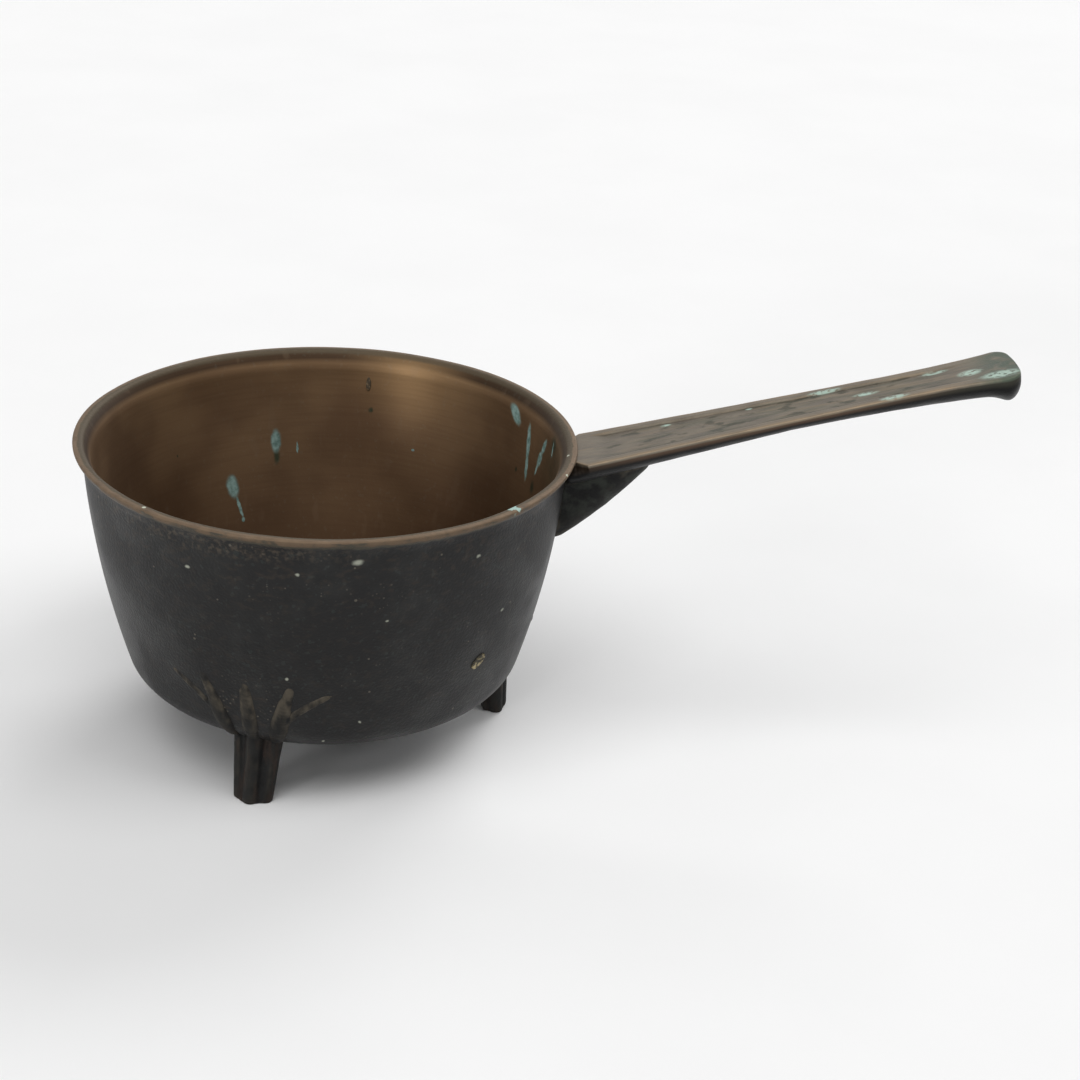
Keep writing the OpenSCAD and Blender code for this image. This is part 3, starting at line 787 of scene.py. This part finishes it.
def handle_section(s):
    """Points (across, up, wear, field, belly) once round the handle, from the middle of its top."""
    w = half_width(s) - tip_inset(s, END_ROUND)
    d = depth_at(s) - tip_inset(s, LIP_ROUND)
    sunk = field_share(s)
    foot = max(w - BORDER_WIDTH - SLOPE, 0.5)
    crest = foot + SLOPE
    half = [
        (foot * i / FLOOR_STEPS, -FIELD_DEPTH * sunk,
         -sunk * smooth(1 - (foot - foot * i / FLOOR_STEPS) / DIRT_WIDTH), sunk, 0)
        for i in range(FLOOR_STEPS)
    ]
    half += [
        (foot, -FIELD_DEPTH * sunk, -sunk, sunk, 0),
        (foot + SLOPE * 0.3, -FIELD_DEPTH * sunk * 0.85, -sunk, sunk / 2, 0),
        (foot + SLOPE * 0.7, -FIELD_DEPTH * sunk * 0.15, 0, 0, 0),
        (crest, 0, 0.3 * sunk, 0, 0),
    ]
    half += [
        (crest + (w - ARRIS - crest) * i / BORDER_STEPS, 0, 0.15 + 0.7 * (i / BORDER_STEPS) ** 2, 0, 0)
        for i in range(1, BORDER_STEPS)
    ]
    for i in range(ARRIS_STEPS + 1):
        a = math.pi / 2 * i / ARRIS_STEPS
        half.append((w - ARRIS + ARRIS * math.sin(a), ARRIS * (math.cos(a) - 1), math.cos(a), 0, 0))
    for i in range(1, BELLY_STEPS // 2):
        a = math.pi * i / BELLY_STEPS
        half.append((w * math.cos(a), -ARRIS - (d - ARRIS) * math.sin(a), 0, 0, 2 * i / BELLY_STEPS))
    bottom = [(0, -d, 0, 0, 1)]
    near = 1.0
    far = 0.35
    half = [(y, up, wear * (far if wear < 0 else 1), field, belly) for y, up, wear, field, belly in half]
    other = [
        (-y, up, wear * (near / far if wear < 0 else 1), field, belly)
        for y, up, wear, field, belly in reversed(half[1:])
    ]
    return half + bottom + other + [half[0]]


# %% Wrap the grid round the handle
HANDLE_STATIONS = 110
TIP_STATIONS = 14
ROOT_DIP = 5.0
NOTCH_DEPTH = 3.5


def handle_stations():
    """Distances from the rim, a little inside it first, closer together at the root and the tip."""
    body = HANDLE_LENGTH - END_ROUND
    even = [-ROOT_DIP + (body + ROOT_DIP) * i / HANDLE_STATIONS for i in range(HANDLE_STATIONS + 1)]
    root = [-2 + 0.3 * i for i in range(36)]
    tip = [body + END_ROUND * math.sin(math.pi / 2 * i / TIP_STATIONS) for i in range(1, TIP_STATIONS + 1)]
    return sorted(even + root + tip)


def make_handle():
    stations = handle_stations()
    sections = [handle_section(s) for s in stations]
    rows, columns = len(stations), len(sections[0])
    bm = bmesh.new()
    layers = [bm.verts.layers.float.new(name) for name in ("wear", "field", "belly")]
    bmesh.ops.create_grid(bm, x_segments=rows - 1, y_segments=columns - 1, size=0.5)
    for v in bm.verts:
        i = round((v.co.x + 0.5) * (rows - 1))
        j = round((v.co.y + 0.5) * (columns - 1))
        s = stations[i]
        across, up, *marks = sections[i][j]
        lag = max((s - HANDLE_LENGTH + END_REACH) / END_REACH, 0) ** 2
        back = (END_BOW * (across / half_width(s)) ** 2
                + math.tan(END_SKEW) * across - math.tan(END_RAKE) * up)
        side = math.copysign(half_width(s), across)
        notch = ROOT_NOTCH * min(max(root_edge(side) - s, 0), ROOT_DIP)
        notch *= 1 - smooth((-up - ARRIS) / NOTCH_DEPTH)
        v.co = (s - lag * back, across * (1 - notch / half_width(s)), up)
        for layer, value in zip(layers, marks):
            v[layer] = value
    bmesh.ops.remove_doubles(bm, verts=bm.verts, dist=0.001)
    ends = [e for e in bm.edges if e.is_boundary]
    bmesh.ops.holes_fill(bm, edges=ends, sides=0)
    bmesh.ops.recalc_face_normals(bm, faces=bm.faces)
    hand_made(bm, 0.1, 9)
    turn = Matrix.Translation(HANDLE_ROOT) @ Matrix.Rotation(-HANDLE_RISE, 4, "Y")
    bmesh.ops.transform(bm, matrix=turn, verts=bm.verts)
    return finish_piece(bm, "handle_bar", HANDLE_FINISH, "handle_bronze", "handle")


handle_bar = make_handle()

# %% [markdown]
# ## Finish: sooted bronze
#
# The legs and the brace stood in the fire, and nobody polished them. The crust is thick and nearly
# black in the hollows, and a grey-brown metal shows faintly on the ridges. Wear comes from the
# shape itself: the mesh carries how sharply it stands out at each point.

# %% Build the sooted finish
RIDGE_GREY = linear("#474137")
RIDGE_BROWN = linear("#2a2620")
DAMP_GREEN = linear("#2b2e29")
STREAK_BROWN = linear("#2b2019")
LEG_SPECKS = [(-10.8, -75.8, 19.1), (-14.3, -74.8, 4.6)]


def make_soot_finish():
    material, tree, at = new_finish("cast_bronze_sooted_all_over")
    wear = add(tree, "Attribute", out="Fac", attribute_name="wear")
    patchy = mottle(tree, at, 6, 0.35, 0.7)
    colour = add(tree, "Mix", {0: patchy, 6: SOOT, 7: SOOT_GREY}, out=2, data_type="RGBA")
    fray = mottle(tree, at, 4, 0.25, 0.65, stretch=(1, 1, 0.6), detail=8)
    edge = add(tree, "MapRange", {
        "Value": wear, "From Min": 0.03, "From Max": 0.22}, interpolation_type="SMOOTHSTEP")
    rubbed = add(tree, "Math", {0: edge, 1: fray}, operation="MULTIPLY")
    height = add(tree, "SeparateXYZ", {"Vector": at}, out="Z")
    tipward = add(tree, "MapRange", {
        "Value": height, "From Min": 33.0, "From Max": 47.0, "To Min": 0.3})
    rubbed = add(tree, "Math", {0: rubbed, 1: tipward}, operation="MULTIPLY")
    bare = add(tree, "Mix", {0: fray, 6: RIDGE_BROWN, 7: RIDGE_GREY}, out=2, data_type="RGBA")
    colour = add(tree, "Mix", {0: rubbed, 6: colour, 7: bare}, out=2, data_type="RGBA")
    streaks = mottle(tree, at, 3.0, 0.45, 0.75, stretch=(1, 1, 0.25), detail=5)
    on_reeds = add(tree, "MapRange", {
        "Value": height, "From Min": 36.0, "From Max": 28.0, "To Max": 0.8})
    streaks = add(tree, "Math", {0: streaks, 1: on_reeds}, operation="MULTIPLY")
    colour = add(tree, "Mix", {0: streaks, 6: colour, 7: STREAK_BROWN}, out=2, data_type="RGBA")

    # damp under the handle's root has turned the brace green in places
    sheltered = add(tree, "MapRange", {"Value": height, "From Min": 88.0, "From Max": 108.0})
    damp = mottle(tree, at, 7, 0.45, 0.65, detail=6)
    damp = add(tree, "Math", {0: damp, 1: sheltered}, operation="MULTIPLY")
    colour = add(tree, "Mix", {0: damp, 6: colour, 7: DAMP_GREEN}, out=2, data_type="RGBA")
    for centre in LEG_SPECKS:
        one = spot(tree, at, centre, (0.9, 0.9, 0.9))
        colour = add(tree, "Mix", {0: one, 6: colour, 7: PALE_SPECK}, out=2, data_type="RGBA")
    roughness = add(tree, "MapRange", {"Value": patchy, "To Min": 0.55, "To Max": 0.7})
    grain = mottle(tree, at, 1.2, 0.2, 0.8, detail=5)
    bump = add(tree, "Bump", {"Height": grain, "Distance": 0.15 * MM, "Strength": 0.6})
    shader = add(tree, "BsdfPrincipled", {
        "Base Color": colour, "Metallic": 0.2, "Roughness": roughness, "Normal": bump,
        "Specular IOR Level": 0.24})
    add(tree, "OutputMaterial", {"Surface": shader})
    return material


SOOT_FINISH = make_soot_finish()
print("finish:", SOOT_FINISH.name)

# %% [markdown]
# ## The legs and the brace
#
# In the CAD model each leg and the brace end exactly on the pan's skin, with crisp edges. The real
# ones grew out of the same pour, so their edges are soft and they have no seam. A copy of the CAD
# mesh is merged, the points that lie on the pan or on the handle's belly are pushed a little into
# the metal, and the copy is remeshed as if it were dipped in wax, then smoothed. Modelling the
# reeds again by hand would only risk a different shape.

# %% Soften copies of the CAD solids
VOXEL = 0.42
SINK = 1.3
TOUCH = 0.35
SWELL = 1.0
CLAW_FROM = 30.0
CLAW_RISE = 6.0
SMOOTHINGS = 9


def pan_depth(p):
    """How deep p lies below the pan's outer skin, and the direction that leads deeper."""
    r = math.hypot(p.x, p.y)
    flat = Vector((r, 0, p.z))
    if p.z > BASE_HEIGHT:
        centre, reach = wall_centre, wall_arc_r
    elif (flat - dish_centre).normalized().x > math.sin(dish_slope) * 0.999:
        centre, reach = corner_centre, CORNER_R
    else:
        centre, reach = dish_centre, dish_r
    inward = (centre - flat).normalized()
    spoke = Vector((p.x / r, p.y / r, 0))
    return reach - (centre - flat).length, spoke * inward.x + Vector((0, 0, inward.z))


def belly_depth(p):
    """How deep p lies above the handle's belly, and the direction that leads deeper."""
    local = Matrix.Rotation(HANDLE_RISE, 3, "Y") @ (p - HANDLE_ROOT)
    w, d = half_width(local.x), depth_at(local.x)
    across = min(abs(local.y) / w, 0.99)
    skin = -ARRIS - (d - ARRIS) * math.sqrt(1 - across ** 2)
    return local.z - skin, Matrix.Rotation(-HANDLE_RISE, 3, "Y") @ Vector((0, 0, 1))


def melt_copy(node, name, lift):
    """A softened, slightly broader copy of a CAD solid, sunk a little into what it grows from."""
    bm = bmesh.new()
    bm.from_mesh(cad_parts[node].data)
    bmesh.ops.translate(bm, vec=-PAN_AXIS, verts=bm.verts)
    bmesh.ops.scale(bm, vec=(1 / MM, 1 / MM, 1 / MM), verts=bm.verts)
    bmesh.ops.remove_doubles(bm, verts=bm.verts, dist=0.002)
    for v in bm.verts:
        for depth, deeper in (pan_depth(v.co), belly_depth(v.co)):
            if -TOUCH < depth < TOUCH:
                v.co += deeper * SINK
    rough = bpy.data.meshes.new(name + "_rough")
    bm.to_mesh(rough)
    bm.free()
    holder = bpy.data.objects.new(name + "_rough", rough)
    bpy.context.scene.collection.objects.link(holder)
    wax = holder.modifiers.new("wax", "REMESH")
    wax.mode = "VOXEL"
    wax.voxel_size = VOXEL
    shape = bpy.data.meshes.new_from_object(
        holder.evaluated_get(bpy.context.evaluated_depsgraph_get()))
    bpy.data.objects.remove(holder)
    bm = bmesh.new()
    bm.from_mesh(shape)
    bm.normal_update()
    for v in bm.verts:
        deeper = pan_depth(v.co)[1]
        along_wall = v.normal - deeper * v.normal.dot(deeper) * (1 - lift)
        v.co += along_wall * SWELL * smooth((v.co.z - CLAW_FROM) / CLAW_RISE)
    for _ in range(SMOOTHINGS):
        bmesh.ops.smooth_vert(
            bm, verts=bm.verts, factor=0.5, use_axis_x=True, use_axis_y=True, use_axis_z=True)
    mark_wear(bm, 3)
    hand_made(bm, 0.12, 5)
    return finish_piece(bm, name, SOOT_FINISH, "sooted_bronze", node)


leg_pieces = [melt_copy(node, node + "_cast", 0) for node in ("leg_front", "leg_right", "leg_left")]
brace = melt_copy("tail", "tail_brace", 1)

# %% [markdown]
# ## The chaplets
#
# Chaplets are scraps of metal that held the core of the mould away from its shell. The pour closed
# round them, and they still show as small patches of another colour. Each one is a bar that
# passes through the wall. It stands a hair proud of both faces, because the pan wore down round it.

# %% Chaplets
LOW_CHAPLET = {
    "size": (4.6, 7.4), "height": 59.0, "angle": math.radians(-41.2), "turn": math.radians(-45)}
HIGH_CHAPLET = {
    "size": (2.0, 6.0), "height": RIM_HEIGHT - 13.5, "angle": math.radians(84.8), "turn": 0.0}
PROUD = 0.4


def make_metal_finish(name, light, dark, chaplet):
    """Worn metal with a painted glint at a chaplet's lower end and painted shade, as in a pit, at its
    upper end.
    """
    material, tree, at = new_finish(name)
    height = add(tree, "SeparateXYZ", {"Vector": at}, out="Z")
    reach = chaplet["size"][1] / 2
    # painted light and shade: a glint low on the chaplet, and the dark of a pit high on it
    upper = add(tree, "MapRange", {
        "Value": height, "From Min": chaplet["height"] - reach, "From Max": chaplet["height"] + reach})
    patchy = mottle(tree, at, 1.6, 0.3, 0.7)
    painted_pit_shade = add(tree, "Math", {0: upper, 1: patchy}, operation="ADD")
    painted_pit_shade = add(tree, "MapRange", {
        "Value": painted_pit_shade, "From Min": 0.4, "From Max": 1.2}, interpolation_type="SMOOTHSTEP")
    colour = add(tree, "Mix", {0: painted_pit_shade, 6: light, 7: dark}, out=2, data_type="RGBA")
    roughness = add(tree, "MapRange", {"Value": painted_pit_shade, "To Min": 0.4, "To Max": 0.7})
    bump = add(tree, "Bump", {"Height": patchy, "Distance": 0.2 * MM, "Strength": 0.5})
    shader = add(tree, "BsdfPrincipled", {
        "Base Color": colour, "Metallic": 0.3, "Roughness": roughness, "Normal": bump})
    add(tree, "OutputMaterial", {"Surface": shader})
    return material


def make_chaplet(chaplet, name, material, slot, node):
    width, size = chaplet["size"]
    middle_r = wall_radius(chaplet["height"]) - WALL_T / 2
    lean = math.asin((chaplet["height"] - wall_centre.z) / wall_arc_r)
    bm = bmesh.new()
    bmesh.ops.create_cube(bm, size=1)
    bmesh.ops.subdivide_edges(bm, edges=bm.edges, cuts=7, use_grid_fill=True)
    for v in bm.verts:
        y, z = v.co.y, v.co.z
        v.co.y, v.co.z = y * math.sqrt(1 - 2 * z * z), z * math.sqrt(1 - 2 * y * y)
    bmesh.ops.scale(bm, vec=(WALL_T + 2 * PROUD, width, size), verts=bm.verts)
    bmesh.ops.rotate(bm, matrix=Matrix.Rotation(chaplet["turn"], 3, "X"), verts=bm.verts)
    hand_made(bm, 0.1, 1.5)
    place = (Matrix.Rotation(chaplet["angle"], 4, "Z")
             @ Matrix.Translation((middle_r, 0, chaplet["height"]))
             @ Matrix.Rotation(-lean, 4, "Y"))
    bmesh.ops.transform(bm, matrix=place, verts=bm.verts)
    return finish_piece(bm, name, material, slot, node)


BRASS_FINISH = make_metal_finish("dull_brass", linear("#9c8d66"), linear("#2b271c"), LOW_CHAPLET)
DARK_FINISH = make_metal_finish("dark_bronze", linear("#75634a"), linear("#3f3526"), HIGH_CHAPLET)
make_chaplet(LOW_CHAPLET, "chaplet_brass_bar", BRASS_FINISH, "chaplet_brass", "chaplet_low")
make_chaplet(HIGH_CHAPLET, "chaplet_bronze_bar", DARK_FINISH, "chaplet_bronze", "chaplet_high")

# %% [markdown]
# ## Floor, light and camera
#
# The photograph was taken on white paper under large soft lamps. The floor is matt and nearly
# white, and it keeps the soft shadow under the pan. The lamps are big and far enough away that a
# colour renders about as it is written.

# %% Floor
FLOOR_HALF = 4.0
PAPER_WHITE = linear("#f4f4f4")
PAPER_GREY = linear("#f2f2f2")


def make_floor():
    material, tree, at = new_finish("white_paper")
    patchy = mottle(tree, at, 120, 0.3, 0.7)
    colour = add(tree, "Mix", {0: patchy, 6: PAPER_WHITE, 7: PAPER_GREY}, out=2, data_type="RGBA")
    shader = add(tree, "BsdfPrincipled", {
        "Base Color": colour, "Roughness": 0.8, "Specular IOR Level": 0.1})
    add(tree, "OutputMaterial", {"Surface": shader})
    bm = bmesh.new()
    bmesh.ops.create_grid(bm, x_segments=8, y_segments=8, size=FLOOR_HALF)
    mesh = bpy.data.meshes.new("paper_floor")
    bm.to_mesh(mesh)
    bm.free()
    mesh.materials.append(material)
    floor = bpy.data.objects.new("paper_floor", mesh)
    bpy.context.scene.collection.objects.link(floor)
    return floor


floor = make_floor()

# %% Lamps and world


def make_lamp(name, azimuth, elevation, width, strength):
    """A round lamp far away. All of its angles are in degrees."""
    lamp = bpy.data.lights.new(name, "SUN")
    lamp.angle = math.radians(width)
    lamp.energy = strength
    holder = bpy.data.objects.new(name, lamp)
    holder.rotation_euler = (0, math.radians(90 - elevation), math.radians(azimuth))
    bpy.context.scene.collection.objects.link(holder)
    return holder


make_lamp("back_softbox", 60, 38, 32, 1.15)
make_lamp("right_softbox", -20, 56, 30, 0.72)
make_lamp("overhead_softbox", -100, 64, 44, 1.15)
make_lamp("low_left_softbox", -125, 8, 14, 0.78)
make_lamp("left_lamp", -150, 24, 10, 0.2)

world = bpy.data.worlds.new("white_room")
bpy.context.scene.world = world
world.use_nodes = True
world.node_tree.nodes.clear()
paths = add(world.node_tree, "LightPath", out="Is Camera Ray")
shown = paths
for kind in ("Is Glossy Ray", "Is Transmission Ray"):
    shown = add(world.node_tree, "Math", {0: shown, 1: paths.node.outputs[kind]}, operation="MAXIMUM")
lit = add(world.node_tree, "Background", {"Color": linear("#ffffff"), "Strength": 0.25})
seen = add(world.node_tree, "Background", {"Color": linear("#fbfbfb"), "Strength": 1.0})
both = add(world.node_tree, "MixShader", {0: shown, 1: lit, 2: seen})
add(world.node_tree, "OutputWorld", {"Surface": both})

# %% Camera at the photograph's place
CAMERA_AT = (0.00172, -0.84146, 0.47935)
CAMERA_DROP = math.radians(25.14)
CAMERA_ROLL = math.radians(3.132)
camera_data = bpy.data.cameras.new("photograph")
camera_data.sensor_width = 36
camera_data.lens = 78.2
camera = bpy.data.objects.new("photograph", camera_data)
camera.matrix_world = (
    Matrix.Translation(CAMERA_AT)
    @ Matrix.Rotation(math.pi / 2 - CAMERA_DROP, 4, "X")
    @ Matrix.Rotation(CAMERA_ROLL, 4, "Z"))
bpy.context.scene.collection.objects.link(camera)
bpy.context.scene.camera = camera
bpy.context.scene.view_settings.view_transform = "Standard"
